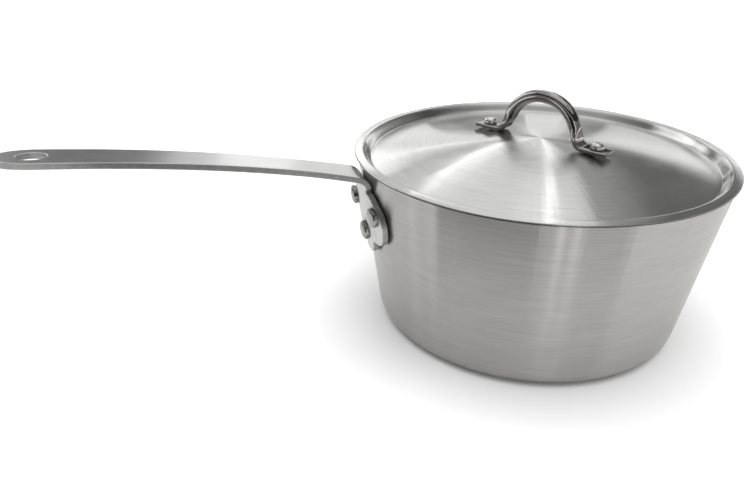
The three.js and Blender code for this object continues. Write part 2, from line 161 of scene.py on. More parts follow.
class GripSizes(bpy.types.PropertyGroup):
    """Sizes of the arched grip and its two rivets."""

    bar_width: length("Bar width", "Width of the arch's oval", 7.6 * MM)
    bar_depth: length("Bar depth", "Thickness of the arch's oval", 7.0 * MM)
    crest_flat: length("Crest flat", "Half of the level run at the top", 1.2 * MM)
    leg_lean: angle("Leg lean", "How far the legs lean outwards", 22.0)
    leg_out: length("Leg out", "Where a leg meets its foot", 24.2 * MM)
    foot_bend: length("Foot bend", "Rounding between leg and foot", 5.0 * MM)
    flattened_run: length("Flattened run", "Length over which a leg flattens", 7.5 * MM)
    foot_width: length("Foot width", "Width of a foot", 9.6 * MM)
    foot_thick: length("Foot thickness", "Thickness of a foot", 2.4 * MM)
    foot_power: share("Foot squareness", "Power of the foot's section, small for square", 0.2)
    foot_edge: length("Foot edge", "Rounding of a foot's end", 0.5 * MM)
    rivet_from_leg: length("Rivet from leg", "Rivet beyond the leg", 10.4 * MM)
    foot_beyond: length("Foot beyond rivet", "Foot's end beyond its rivet", 7.4 * MM)
    shank: length("Shank radius", "Rivet's shank", 2.2 * MM)
    head: length("Head radius", "Rivet's head", 3.9 * MM)
    head_height: length("Head height", "Rivet's head above the foot", 2.9 * MM)
    head_round: length("Head rounding", "Rounding of the head's shoulder", 1.7 * MM)
    head_crown: length("Head crown", "How far the head's face swells", 0.9 * MM)
    tail: length("Tail radius", "Rivet's tail under the lid", 3.6 * MM)
    tail_height: length("Tail height", "Rivet's tail below the sheet", 1.6 * MM)


class HandleSizes(bpy.types.PropertyGroup):
    """Sizes of the flat-bar handle and its three rivets."""

    thick: length("Thickness", "Thickness of the bar", 3.3 * MM)
    edge: length("Edge", "Rounding of the bar's edges", 0.6 * MM)
    # Painted shade: besides making it rougher, this darkens the flange from the bend down, for the dim table
    # it would mirror.
    flange_painted_shade: share("Flange dullness", "How dull the pressed flange is, against a cut edge", 0.60)
    reach: length("Reach", "Tip of the handle from the pot's axis", -HANDLE_TIP.x)
    neck: length("Neck half width", "Half width at the pot", 10.4 * MM)
    waist: length("Waist half width", "Half width at the narrowest place", 9.25 * MM)
    waist_out: length("Waist out", "Narrowest place from the rim", 35.0 * MM)
    tip: length("Tip half width", "Half width where the end starts to round", 10.65 * MM)
    tip_round: length("Tip rounding", "Length of the rounded end", 18.0 * MM)
    root_drop: length("Root drop", "Bend's corner below the rim", 3.3 * MM)
    tip_rise: length("Tip rise", "Tip's upper face above the rim", 21.0 * MM)
    root_slope: angle("Root slope", "Slope where the bar leaves the pot", 13.2)
    tip_slope: angle("Tip slope", "Slope at the tip", 3.2)
    bend_inside: length("Bend inside", "Inner radius of the bend", 6.0 * MM)
    hole_length: length("Hole length", "Hanging hole along the bar", 13.2 * MM)
    hole_width: length("Hole width", "Hanging hole across the bar", 10.5 * MM)
    hole_from_tip: length("Hole from tip", "Middle of the hanging hole", 17.6 * MM)
    flatter_by: length("Flatter by", "How much larger the flange's curve is than the wall's", 16.0 * MM)
    upper_drop: length("Upper rivets below rim", "Height of the two upper rivets", 22.1 * MM)
    lower_drop: length("Lower rivet below rim", "Height of the lower rivet", 36.7 * MM)
    spacing: length("Rivet spacing", "Between the two upper rivets", 34.2 * MM)
    wing_beyond: length("Wing beyond rivet", "Wing's edge outside its rivet", 8.1 * MM)
    wing_above: length("Wing above rivet", "Wing's upper edge at the neck", 10.8 * MM)
    wing_shoulder: length("Wing shoulder", "Shoulder above the rivet", 1.2 * MM)
    wing_below: length("Wing below rivet", "Wing's toe below its rivet", 15.9 * MM)
    shoulder_round: length("Shoulder rounding", "Rounding of the shoulder", 13.0 * MM)
    toe_round: length("Toe rounding", "Rounding of the toe", 8.0 * MM)
    toe_inset: length("Toe inset", "How far the toe draws in", 3.0 * MM)
    notch: length("Neck notch", "Relief notch between neck and wing", 1.6 * MM)
    tongue: length("Tongue half width", "Half width of the tongue", 8.3 * MM)
    tongue_below: length("Tongue below rivet", "Tongue's end below its rivet", 11.9 * MM)
    tongue_round: length("Tongue rounding", "Rounding of the tongue's end", 5.8 * MM)
    tongue_narrows: length("Tongue narrowing", "How far the tongue draws in", 1.6 * MM)
    tongue_notch: length("Tongue notch", "Notch beside the tongue below the toe", 2.4 * MM)
    shank: length("Shank radius", "Rivet's shank", 2.8 * MM)
    head: length("Head radius", "Rivet's head", 5.25 * MM)
    head_height: length("Head height", "Rivet's head above the flange", 3.5 * MM)
    head_round: length("Head rounding", "Rounding of the head's shoulder", 1.3 * MM)
    head_crown: length("Head crown", "How far the head's face swells", 1.1 * MM)
    tail: length("Tail radius", "Rivet's tail inside the pot", 4.7 * MM)
    tail_height: length("Tail height", "Rivet's tail above the wall", 1.9 * MM)


class Finishes(bpy.types.PropertyGroup):
    """Colours of the metals."""

    # Painted shade: the pot's metal is darker than the lid's, for the dim room its wall would mirror.
    pot: colour("Pot", "Spun aluminium of the wall", (0.40, 0.395, 0.388))
    lid: colour("Lid", "Turned aluminium of the lid", (0.66, 0.66, 0.65))
    handle: colour("Handle", "Satin steel of the bar", (0.66, 0.66, 0.655))
    # Painted shade: the handle's rivets are darker than the grip's, for the dim room they would mirror.
    rivet: colour("Rivet", "Dull aluminium of the handle's rivets", (0.28, 0.28, 0.27))
    grip_rivet: colour("Grip rivet", "Bright aluminium of the grip's rivets", (0.66, 0.66, 0.65))
    # Painted shade: the chrome is darker than bright chrome, for the dim room it would mirror.
    grip: colour("Grip", "Chrome of the lid's grip", (0.38, 0.365, 0.36))
    floor: colour("Table", "Pale table under the pan", (0.97, 0.97, 0.97))


# Surfaces.


def rounded(corners):
    """Straight runs between corners (a, b, radius), each corner rounded by the tangent arc of its radius."""
    points = [np.array([corners[0][:2]])]
    for before, here, after in zip(corners, corners[1:], corners[2:]):
        at = np.array(here[:2])
        radius = here[2]
        if radius == 0:
            points.append(at[None])
            continue
        back = np.array(before[:2]) - at
        ahead = np.array(after[:2]) - at
        back = back / np.linalg.norm(back)
        ahead = ahead / np.linalg.norm(ahead)
        half = math.acos(np.clip(back @ ahead, -1, 1)) / 2
        middle = at + (back + ahead) / np.linalg.norm(back + ahead) * radius / math.sin(half)
        start = at + back * radius / math.tan(half) - middle
        side = ahead - (ahead @ back) * back
        side = side / np.linalg.norm(side)
        sweep = np.linspace(0, math.pi - 2 * half, FILLET_STEPS + 1)[:, None]
        points.append(middle + start * np.cos(sweep) - back * radius * np.sin(sweep))
    points.append(np.array([corners[-1][:2]]))
    return np.concatenate(points)


def bezier(controls, steps):
    """Points of the Bezier curve of some controls: each is weighted by its Bernstein polynomial."""
    t = np.linspace(0, 1, steps + 1)[:, None]
    order = len(controls) - 1
    weights = [math.comb(order, k) * t**k * (1 - t) ** (order - k) for k in range(order + 1)]
    return sum(w * np.array(c) for w, c in zip(weights, controls))


def run_length(points):
    """Distance along a row of points, from its first."""
    steps = np.linalg.norm(np.diff(points, axis=0), axis=1)
    return np.concatenate([[0.0], np.cumsum(steps)])


def directions(points):
    """Unit direction of a row of points at each of them."""
    along = np.gradient(points, axis=0)
    return along / np.linalg.norm(along, axis=1)[:, None]


def turned(profile, turns):
    """Profile of (radius, height) points carried round Z. The map holds the turn and the run along the
    profile."""
    turn = np.linspace(0, 2 * math.pi, turns + 1)
    turn[-1] = 0.0
    radius = profile[:, :1]
    height = np.broadcast_to(profile[:, 1:], (len(profile), turns + 1))
    points = np.stack([radius * np.cos(turn), radius * np.sin(turn), height], axis=-1)
    around = np.broadcast_to(np.linspace(0, 1, turns + 1), height.shape)
    run = np.broadcast_to(run_length(profile)[:, None], height.shape)
    return points, np.stack([around, run], axis=-1)


def skin(name, patches, material):
    """One mesh object from grids of points: neighbouring points make quads, and meeting edges are welded. A
    patch may also say, point by point, how far it is darkened as a cut edge and as painted shade."""
    points, maps, quads, cut_and_shade = [], [], [], []
    count = 0
    for grid, surface_map, *edge in patches:
        rows, columns = grid.shape[:2]
        index = count + np.arange(rows * columns).reshape(rows, columns)
        corner = [index[:-1, :-1], index[:-1, 1:], index[1:, 1:], index[1:, :-1]]
        quads.append(np.stack(corner, axis=-1).reshape(-1, 4))
        points.append(grid.reshape(-1, 3))
        maps.append(surface_map.reshape(-1, 2))
        cut_and_shade.append(edge[0].ravel() if edge else np.zeros(rows * columns))
        count += rows * columns
    quads = np.concatenate(quads)
    mesh = bpy.data.meshes.new(name)
    mesh.from_pydata(np.concatenate(points).tolist(), [], quads.tolist())
    layer = mesh.uv_layers.new(name=SURFACE_MAP)
    layer.data.foreach_set("uv", np.concatenate(maps)[quads.ravel()].ravel())
    cut = mesh.attributes.new(CUT_AND_SHADE_MASK, "FLOAT", "POINT")
    cut.data.foreach_set("value", np.concatenate(cut_and_shade))
    welded = bmesh.new()
    welded.from_mesh(mesh)
    bmesh.ops.remove_doubles(welded, verts=welded.verts, dist=WELD_WITHIN)
    welded.to_mesh(mesh)
    welded.free()
    mesh.polygons.foreach_set("use_smooth", np.ones(len(mesh.polygons), dtype=bool))
    mesh.set_sharp_from_angle(angle=SHARP_ANGLE)
    mesh.materials.append(material)
    piece = bpy.data.objects.new(name, mesh)
    bpy.context.scene.collection.objects.link(piece)
    return piece


def fitted(piece, node, body):
    """The piece stands for its CAD node, which it hides, and moves with its body."""
    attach(piece, body)
    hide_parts(node)


def rivet_profile(sizes, reach):
    """Profile of a rivet along Z: tail below the reach, shank, then a head from the fit gap up, whose face
    swells."""
    tail_top = -reach - FIT_GAP
    top = FIT_GAP + sizes.head_height
    return rounded(
        [
            (0, tail_top - sizes.tail_height, 0),
            (sizes.tail, tail_top - sizes.tail_height, sizes.tail_height / 2),
            (sizes.tail, tail_top, 0),
            (sizes.shank, tail_top, 0),
            (sizes.shank, FIT_GAP, 0),
            (sizes.head, FIT_GAP, 0),
            (sizes.head, top - sizes.head_crown, sizes.head_round),
            (sizes.head / 2, top, sizes.head),
            (0, top, 0),
        ]
    )


class PotLines:
    """Lines of the pot's wall that the other pieces follow."""

    def __init__(self, pot):
        self.slope = (pot.rim_radius - pot.base_radius) / pot.height
        self.taper = math.atan(self.slope)
        self.across = pot.wall / math.cos(self.taper)
        self.mouth = pot.rim_radius - self.across
        self.base = pot.base_radius

    def radius(self, z):
        """Outside of the wall at a height."""
        return self.base + self.slope * z


class LidLines:
    """Lines of the lid's sheet that its grip and rivets follow."""

    def __init__(self, pot, lid):
        self.lip_z = pot.height + FIT_GAP + lid.sheet / 2
        self.step_top = PotLines(pot).mouth - lid.plug_clearance
        self.groove = self.step_top - lid.step_width
        self.groove_z = self.lip_z - lid.groove_depth
        self.seat = pot.rim_radius
        self.lip_slope = math.tan(lid.lip_fall)
        self.crown_z = self.groove_z + lid.crown_rise
        self.shoulder_drop = math.tan(lid.centre_slope) * self.groove / 2
        self.rise = lid.crown_rise
        self.sheet = lid.sheet

    def lip_at(self, radius):
        """Point in the middle of the lip's sheet, which slopes down over the pot's rim."""
        return radius, self.lip_z + (self.seat - radius) * self.lip_slope

    def crown_top(self, radius):
        """Upper face of the crown at a distance from its axis."""
        s = radius / self.groove
        return self.crown_z - (2 * s * (1 - s) * self.shoulder_drop + s * s * self.rise) + self.sheet / 2


# Materials.

FLOAT = "NodeSocketFloat"
COLOUR = "NodeSocketColor"
WHITE = (1.0, 1.0, 1.0, 1.0)

# Nearly all of a noise lies between these two values.
NOISE_LOW = 0.3
NOISE_HIGH = 0.7

# Grain. The noise of a turned piece is read on a circle of one size, whatever the place's own radius, and its
# broad marks change more slowly than the fine ones round the axis and much more slowly along the profile.
GRAIN_CIRCLE = 0.1
LEVEL = (1.0, 1.0, 0.0)
BROAD_PACE = (0.7, 0.7, 0.06)
FINE_DETAIL = 1.5
BROAD_DETAIL = 3.0
BROAD_ROUGHNESS = 0.55
SPOKE_ROUGHNESS = 0.6
MOTTLE_SCALE = 90.0
ACROSS_GRAIN = 0.25

# Handling marks lie on the borders of cells, as wide as this share of a cell, in patches of a slow noise.
MARK_CELLS = 30.0
MARK_WIDTH = 0.006
PATCH_SCALE = 55.0
PATCH_DETAIL = 1.0
PATCH_FROM = 0.60
PATCH_FULL = 0.66

# A cut edge is uneven, and duller than the faces. The same darkening paints shade on the lid's lip and the
# handle's flange.
RAGGED_SCALE = 400.0
RAGGED_REACH = 0.1
CUT_ROUGHNESS = 0.7


def feed(tree, made, inputs):
    """Links each input of a node that is given a socket, and sets the others."""
    for key, value in inputs.items():
        if isinstance(value, bpy.types.NodeSocket):
            tree.links.new(value, made.inputs[key])
        else:
            made.inputs[key].default_value = value


def node(tree, kind, place, inputs=None, **settings):
    """Adds a shader node at a place of its tree, with its settings and its inputs."""
    made = tree.nodes.new("ShaderNode" + kind)
    made.location = place
    for key, value in settings.items():
        setattr(made, key, value)
    feed(tree, made, inputs or {})
    return made


def maths(tree, operation, place, first, second, **settings):
    """What a sum or product of two values gives."""
    return node(tree, "Math", place, {0: first, 1: second}, operation=operation, **settings).outputs[0]


def scaled(tree, place, vector, scale):
    """A vector or a colour times a value."""
    return node(tree, "VectorMath", place, {0: vector, "Scale": scale}, operation="SCALE").outputs[0]


def noise(tree, place, point, scale=1.0, detail=2.0, roughness=0.5):
    """Value of a noise at a point."""
    inputs = {"Vector": point, "Scale": scale, "Detail": detail, "Roughness": roughness}
    return node(tree, "TexNoise", place, inputs).outputs["Fac"]


def spread_about(tree, place, value, middle, reach):
    """A noise's value, spread evenly from middle - reach to middle + reach."""
    inputs = {
        "Value": value,
        "From Min": NOISE_LOW,
        "From Max": NOISE_HIGH,
        "To Min": middle - reach,
        "To Max": middle + reach,
    }
    return node(tree, "MapRange", place, inputs).outputs["Result"]


def object_place(tree, place):
    """The point of the piece, in its own coordinates."""
    return node(tree, "TexCoord", place).outputs["Object"]


def surface_place(tree, place):
    """The two values of the piece's own map."""
    surface = node(tree, "UVMap", place, uv_map=SURFACE_MAP)
    parts = node(tree, "SeparateXYZ", (place[0] + 200, place[1]), {0: surface.outputs[0]})
    return parts.outputs["X"], parts.outputs["Y"]


def node_group(name, inputs, outputs):
    """An empty shader node group with named sockets, the sockets it takes in by and its output node."""
    group = bpy.data.node_groups.new(name, "ShaderNodeTree")
    for way, sockets in (("INPUT", inputs), ("OUTPUT", outputs)):
        for label, kind in sockets.items():
            group.interface.new_socket(name=label, in_out=way, socket_type=kind)
    start = group.nodes.new("NodeGroupInput")
    start.location = (-1200, 0)
    end = group.nodes.new("NodeGroupOutput")
    end.location = (600, 0)
    return group, start.outputs, end


def turned_grain(name):
    """Lathe marks: noise drawn out round the axis and fine along the profile, and slow spokes that change
    only with the turn. Puts out a fine shade, a broad one and the spokes' height, which grows outwards."""
    group, start, end = node_group(
        name,
        {"Lines": FLOAT, "Streak": FLOAT, "Spokes": FLOAT},
        {"Shade": FLOAT, "Broad": FLOAT, "Spoke": FLOAT},
    )
    point = object_place(group, (-1400, 300))
    run = surface_place(group, (-1400, -200))[1]
    flat = node(group, "VectorMath", (-1200, 300), {0: point, 1: LEVEL}, operation="MULTIPLY").outputs[0]
    radius = node(group, "VectorMath", (-1000, 150), {0: flat}, operation="LENGTH").outputs["Value"]
    way = node(group, "VectorMath", (-1000, 300), {0: flat}, operation="NORMALIZE").outputs[0]
    around = scaled(group, (-800, 300), way, GRAIN_CIRCLE)
    drawn = scaled(group, (-600, 300), around, start["Streak"])
    lines = maths(group, "MULTIPLY", (-800, -100), run, start["Lines"])
    lifted = node(group, "CombineXYZ", (-600, -100), {"Z": lines}).outputs[0]
    fine_at = node(group, "VectorMath", (-400, 200), {0: drawn, 1: lifted}).outputs[0]
    slower = {0: fine_at, 1: BROAD_PACE}
    broad_at = node(group, "VectorMath", (-400, 0), slower, operation="MULTIPLY").outputs[0]
    spoke_at = scaled(group, (-400, -300), around, start["Spokes"])
    spoke = noise(group, (-200, -300), spoke_at, detail=BROAD_DETAIL, roughness=SPOKE_ROUGHNESS)
    outputs = {
        "Shade": noise(group, (-200, 300), fine_at, detail=FINE_DETAIL),
        "Broad": noise(group, (-200, 0), broad_at, detail=BROAD_DETAIL, roughness=BROAD_ROUGHNESS),
        "Spoke": maths(group, "MULTIPLY", (100, -300), spoke, radius),
    }
    feed(group, end, outputs)
    return group


def drawn_grain(name):
    """Marks of a belt run along a bar: noise drawn out along the piece's own map and fine across it. Puts out
    that shade and a broad mottle."""
    group, start, end = node_group(
        name,
        {"Lines": FLOAT, "Streak": FLOAT},
        {"Shade": FLOAT, "Broad": FLOAT},
    )
    across, along = surface_place(group, (-1200, -200))
    fine_x = maths(group, "MULTIPLY", (-800, 0), across, start["Lines"])
    fine_y = maths(group, "MULTIPLY", (-800, -200), along, start["Streak"])
    fine_at = node(group, "CombineXYZ", (-600, 0), {"X": fine_x, "Y": fine_y}).outputs[0]
    outputs = {
        "Shade": noise(group, (-200, 200), fine_at, detail=FINE_DETAIL),
        "Broad": noise(group, (-200, -200), object_place(group, (-600, -300)), MOTTLE_SCALE),
    }
    feed(group, end, outputs)
    return group


def handling_marks(name):
    """Sparse fine scratches: the thin borders of Voronoi cells, kept only where a slow noise is high. Puts
    out how far a place is scratched."""
    group, start, end = node_group(name, {"Cells": FLOAT}, {"Scratch": FLOAT})
    point = object_place(group, (-800, 0))
    cells = node(
        group,
        "TexVoronoi",
        (-500, 200),
        {"Vector": point, "Scale": start["Cells"]},
        feature="DISTANCE_TO_EDGE",
    )
    borders = {"Value": cells.outputs["Distance"], "From Max": MARK_WIDTH, "To Min": 1.0, "To Max": 0.0}
    thin = node(group, "MapRange", (-200, 200), borders).outputs["Result"]
    slow = noise(group, (-500, -200), point, PATCH_SCALE, PATCH_DETAIL)
    patches = {"Value": slow, "From Min": PATCH_FROM, "From Max": PATCH_FULL}
    kept = node(group, "MapRange", (-200, -200), patches).outputs["Result"]
    feed(group, end, {"Scratch": maths(group, "MULTIPLY", (100, 0), thin, kept)})
    return group


def cut_edge_and_painted_shade(name):
    """Where the piece's own mask says so, the metal is darker, unevenly, and duller: a cut edge, and painted
    shade on the lid's lip and the handle's flange.
    """
    group, start, end = node_group(
        name,
        {"Metal": COLOUR, "Roughness": FLOAT, "Cut and shade level": FLOAT},
        {"Color": COLOUR, "Roughness": FLOAT},
    )
    mask = node(group, "Attribute", (-1000, 200), attribute_name=CUT_AND_SHADE_MASK).outputs["Fac"]
    ragged = noise(group, (-800, -200), object_place(group, (-1000, -200)), RAGGED_SCALE)
    uneven = spread_about(group, (-600, -200), ragged, 1.0, RAGGED_REACH)
    level = maths(group, "MULTIPLY", (-400, -100), uneven, start["Cut and shade level"])
    cut = {"Factor": mask, "A": start["Metal"], "B": scaled(group, (-200, -100), start["Metal"], level)}
    dull = {"Factor": mask, "A": start["Roughness"], "B": CUT_ROUGHNESS}
    outputs = {
        "Color": node(group, "Mix", (100, 200), cut, data_type="RGBA").outputs["Result"],
        "Roughness": node(group, "Mix", (100, -100), dull).outputs["Result"],
    }
    feed(group, end, outputs)
    return group


EFFECTS = {
    "Turned grain": turned_grain,
    "Drawn grain": drawn_grain,
    "Handling marks": handling_marks,
    "Cut edge and painted shade": cut_edge_and_painted_shade,
}


def effect(tree, name, place, inputs):
    """Places the shared node group of that name, made on first use, and gives its outputs."""
    group = bpy.data.node_groups.get(name) or EFFECTS[name](name)
    return node(tree, "Group", place, inputs, node_tree=group).outputs


def plain_material(name):
    """A new material, its node tree and its Principled BSDF."""
    material = bpy.data.materials.new(name)
    material.use_nodes = True
    tree = material.node_tree
    return material, tree, tree.nodes["Principled BSDF"]


def dress(tree, shader, base, look, grain, height, tangent, wear=None):
    """Feeds a metal's shader: its colour scaled by the fine shade, the broad mottle and any wear, its
    roughness spread by the mottle, both changed at cut edges and where the mask paints shade, a height's
    bump, and a tangent that its reflections stretch by."""
    shade = spread_about(tree, (-700, 200), grain["Shade"], 1.0, look["shade"])
    broad = spread_about(tree, (-700, 0), grain["Broad"], 1.0, look["broad"])
    rough = spread_about(tree, (-700, -200), grain["Broad"], look["rough"], look["rough_reach"])
    if wear is not None:
        broad = maths(tree, "MULTIPLY", (-600, 0), broad, wear)
    metal = scaled(tree, (-400, 200), tuple(base), maths(tree, "MULTIPLY", (-500, 200), shade, broad))
    edged = {"Metal": metal, "Roughness": rough, "Cut and shade level": look["cut"]}
    edge = effect(tree, "Cut edge and painted shade", (-200, 200), edged)
    relief = {"Height": height, "Strength": 1.0, "Distance": look["relief"]}
    inputs = {
        "Base Color": edge["Color"],
        "Roughness": edge["Roughness"],
        "Normal": node(tree, "Bump", (-300, -300), relief).outputs["Normal"],
        "Tangent": tangent.outputs["Tangent"],
        "Metallic": 1.0,
        "Anisotropic": look["stretch"],
    }
    feed(tree, shader, inputs)


def turned_metal(name, base, look):
    """Metal finished on a lathe: rings of fine marks, slow spokes, brighter handling marks, and reflections
    stretched along the profile."""
    material, tree, shader = plain_material(name)
    lathe = {"Lines": look["lines"], "Streak": look["streak"], "Spokes": look["spokes"]}
    grain = effect(tree, "Turned grain", (-900, 0), lathe)
    marks = effect(tree, "Handling marks", (-900, 400), {"Cells": MARK_CELLS})
    bared = {0: marks["Scratch"], 1: look["scratch"], 2: 1.0}
    wear = node(tree, "Math", (-700, 400), bared, operation="MULTIPLY_ADD").outputs[0]
    tangent = node(tree, "Tangent", (-300, -700), direction_type="RADIAL", axis="Z")
    dress(tree, shader, base, look, grain, grain["Spoke"], tangent, wear)
    grazing = look["grazing"]
    shader.inputs["Anisotropic Rotation"].default_value = ACROSS_GRAIN
    shader.inputs["Specular Tint"].default_value = (grazing, grazing, grazing, 1.0)
    return material


def drawn_metal(name, base, look):
    """Metal finished along its length: fine lines, a faint relief, and reflections stretched across them."""
    material, tree, shader = plain_material(name)
    grain = effect(tree, "Drawn grain", (-900, 0), {"Lines": look["lines"], "Streak": look["streak"]})
    tangent = node(tree, "Tangent", (-300, -500), direction_type="UV_MAP", uv_map=SURFACE_MAP)
    dress(tree, shader, base, look, grain, grain["Broad"], tangent)
    return material


POT_LOOK = {
    "lines": 1500.0,
    "streak": 40.0,
    "spokes": 60.0,
    "shade": 0.075,
    "broad": 0.04,
    "rough": 0.31,
    "rough_reach": 0.02,
    "relief": 3e-3,
    "stretch": 1.0,
    "cut": 1.0,
    "grazing": 0.88,
    "scratch": 0.12,
}
LID_LOOK = {
    "lines": 1100.0,
    "streak": 40.0,
    "spokes": 80.0,
    "shade": 0.05,
    "broad": 0.03,
    "rough": 0.21,
    "rough_reach": 0.02,
    "relief": 8e-4,
    "stretch": 1.0,
    # Painted shade: this level darkens the lower part of the lip's edge, for the dark line under the lip.
    "cut": 0.22,
    "grazing": 1.0,
    "scratch": 0.15,
}
BAR_LOOK = {
    "lines": 1000.0,
    "streak": 50.0,
    "shade": 0.06,
    "broad": 0.03,
    "rough": 0.305,
    "rough_reach": 0.015,
    "relief": 1e-6,
    "stretch": 0.8,
    "cut": 0.78,
}
RIVET_LOOK = {
    "lines": 1200.0,
    "streak": 120.0,
    "shade": 0.12,
    "broad": 0.10,
    "rough": 0.25,
    "rough_reach": 0.015,
    "relief": 4e-6,
    "stretch": 0.0,
    "cut": 1.0,
}
CHROME_LOOK = {
    "lines": 900.0,
    "streak": 120.0,
    "shade": 0.03,
    "broad": 0.05,
    "rough": 0.07,
    "rough_reach": 0.03,
    "relief": 3e-5,
    "stretch": 0.0,
    "cut": 1.0,
}

FINISHES = {
    "spun_wall": (turned_metal, "pot", POT_LOOK),
    "turned_lid": (turned_metal, "lid", LID_LOOK),
    "satin_bar": (drawn_metal, "handle", BAR_LOOK),
    # Painted shade: the handle's rivets take the darker rivet colour.
    "painted_shade_rivet": (drawn_metal, "rivet", RIVET_LOOK),
    "bright_rivet": (drawn_metal, "grip_rivet", RIVET_LOOK),
    "arch_chrome": (drawn_metal, "grip", CHROME_LOOK),
}


def finish_of(name, context):
    """The material of that name, made on first use from its colour and its look."""
    make, metal, look = FINISHES[name]
    base = getattr(context.scene.saucepan_finishes, metal)
    return bpy.data.materials.get(name) or make(name, base, look)


# Pieces.


def pot_profile(pot):
    """Section of the pot: out along the base, up the wall, over the rim, down inside and in along the floor,
    with every corner rounded."""
    lines = PotLines(pot)
    return rounded(
        [
            (0, 0, 0),
            (pot.base_radius, 0, pot.corner),
            (pot.rim_radius, pot.height, pot.rim_round),
            (lines.mouth, pot.height, pot.rim_round),
            (lines.radius(pot.floor) - lines.across, pot.floor, pot.corner - pot.wall),
            (0, pot.floor, 0),
        ]
    )


class SAUCEPAN_OT_pot(bpy.types.Operator):
    """Build the spun pot"""

    bl_idname = "saucepan.pot"
    bl_label = "Pot"

    def execute(self, context):
        profile = pot_profile(context.scene.saucepan_pot)
        shell = skin("pot_shell", [turned(profile, TURNS)], finish_of("spun_wall", context))
        fitted(shell, "pot_body", "pot")
        return {"FINISHED"}


# The handle's outline: roundings of the neck's notch as shares of its size, and two small falls that keep a
# run of the flange from lying level.
NOTCH_CORNER = 0.9
NOTCH_EDGE = 0.4
WING_FALL = 0.1 * MM
TONGUE_FALL = 0.05 * MM

# Rows of the handle's mesh: the least step between two, the room they leave at the hole's ends, and the share
# of an edge's rounding from which it counts as cut.
ROW_STEP = 1e-9
ROW_ROOM = 1e-7
CUT_FROM = 0.9


def handle_path(pot, handle):
    """Side view of the bar's upper face as (distance from the axis, height) from the tip to past the tongue,
    and the direction through the bar at each point: a rising curve, the bend and the run down the wall."""
    lines = PotLines(pot)
    outside = handle.bend_inside + handle.thick
    corner_z = pot.height - handle.root_drop
    corner = np.array([lines.radius(corner_z) + FIT_GAP / math.cos(lines.taper), corner_z])
    bar_way = np.array([math.cos(handle.root_slope), math.sin(handle.root_slope)])
    wall_way = np.array([-math.sin(lines.taper), -math.cos(lines.taper)])
    half = math.acos(bar_way @ wall_way) / 2
    start = corner + bar_way * outside / math.tan(half)
    middle = corner + (bar_way + wall_way) / np.linalg.norm(bar_way + wall_way) * outside / math.sin(half)
    tip = np.array([handle.reach, pot.height + handle.tip_rise])
    third = (tip[0] - start[0]) / 3
    root_control = start + third * np.array([1.0, math.tan(handle.root_slope)])
    tip_control = tip - third * np.array([1.0, math.tan(handle.tip_slope)])
    bar = bezier([tip, tip_control, root_control, start], BAR_STEPS)
    bar_way_in = directions(bar)
    bar_through = np.stack([-bar_way_in[:, 1], bar_way_in[:, 0]], axis=1)
    turn = np.linspace(handle.root_slope + math.pi / 2, math.pi - lines.taper, BEND_STEPS + 1)[1:]
    spoke = np.stack([np.cos(turn), np.sin(turn)], axis=1)
    bend = middle + spoke * outside
    fall = np.linspace(0, pot.height / 2, FLANGE_STEPS + 1)[1:, None]
    flange = bend[-1] + wall_way * fall
    path = np.concatenate([bar, bend, flange])
    through = np.concatenate([bar_through, -spoke, np.broadcast_to(-spoke[-1], flange.shape)])
    return path, through


def handle_outline(pot, handle, path):
    """Half of the bar's trimmed outline as (run along the path, half width): the round end, the plan of the
    bar, the notch at the neck, a wing and half of the tongue."""
    run = run_length(path)
    distance = path[:, 0]
    height = path[:, 1]
    root = int(np.argmin(np.abs(distance - (pot.rim_radius + handle.bend_inside))))

    def at_distance(d):
        """Run along the bar at a distance from the axis."""
        return np.interp(-d, -distance[: root + 1], run[: root + 1])

    def at_height(z):
        """Run along the bend and the flange at a height."""
        return np.interp(-z, -height[root:], run[root:])

    sweep = np.linspace(0, math.pi / 2, TIP_STEPS + 1)
    round_from = handle.reach - handle.tip_round
    round_end = at_distance(round_from + handle.tip_round * np.cos(sweep))
    tip = np.stack([round_end, handle.tip * np.sin(sweep)], axis=1)
    waist = pot.rim_radius + handle.waist_out
    neck = pot.rim_radius + handle.bend_inside
    straight = np.linspace(round_from, waist, SIDE_STEPS + 1)[1:]
    taper = (straight - waist) / (round_from - waist)
    sides = np.stack([at_distance(straight), handle.waist + (handle.tip - handle.waist) * taper], axis=1)
    bow = [(waist, handle.waist), ((waist + neck) / 2, handle.waist), (neck, handle.neck)]
    flare = bezier(bow, FLARE_STEPS)[1:]
    flared = np.stack([at_distance(flare[:, 0]), flare[:, 1]], axis=1)

    upper = pot.height - handle.upper_drop
    lower = pot.height - handle.lower_drop
    wing_top = upper + handle.wing_above
    wing_out = handle.spacing / 2 + handle.wing_beyond
    wing_foot = upper - handle.wing_below
    notch_z = wing_top + handle.notch / 2
    bent = np.linspace(run[root], at_height(notch_z + handle.notch), NECK_STEPS + 1)[1:-1]
    necked = np.stack([bent, np.full(bent.shape, handle.neck)], axis=1)
    front = rounded(
        [
            (handle.neck, notch_z + 2 * handle.notch, 0),
            (handle.neck, notch_z + handle.notch, 0),
            (handle.neck - handle.notch, notch_z + handle.notch, handle.notch * NOTCH_CORNER),
            (handle.neck - handle.notch, wing_top, handle.notch * NOTCH_EDGE),
            (handle.neck + handle.notch, wing_top - WING_FALL, 0),
            (wing_out, upper + handle.wing_shoulder, handle.shoulder_round),
            (wing_out - handle.toe_inset, wing_foot, handle.toe_round),
            (handle.tongue, wing_foot - handle.tongue_notch, handle.notch),
            (handle.tongue - handle.tongue_narrows, lower - handle.tongue_below, handle.tongue_round),
            (0, lower - handle.tongue_below - TONGUE_FALL, 0),
        ]
    )[2:]
    flange = np.stack([at_height(front[:, 1]), front[:, 0]], axis=1)
    return np.concatenate([tip, sides, flared, necked, flange])


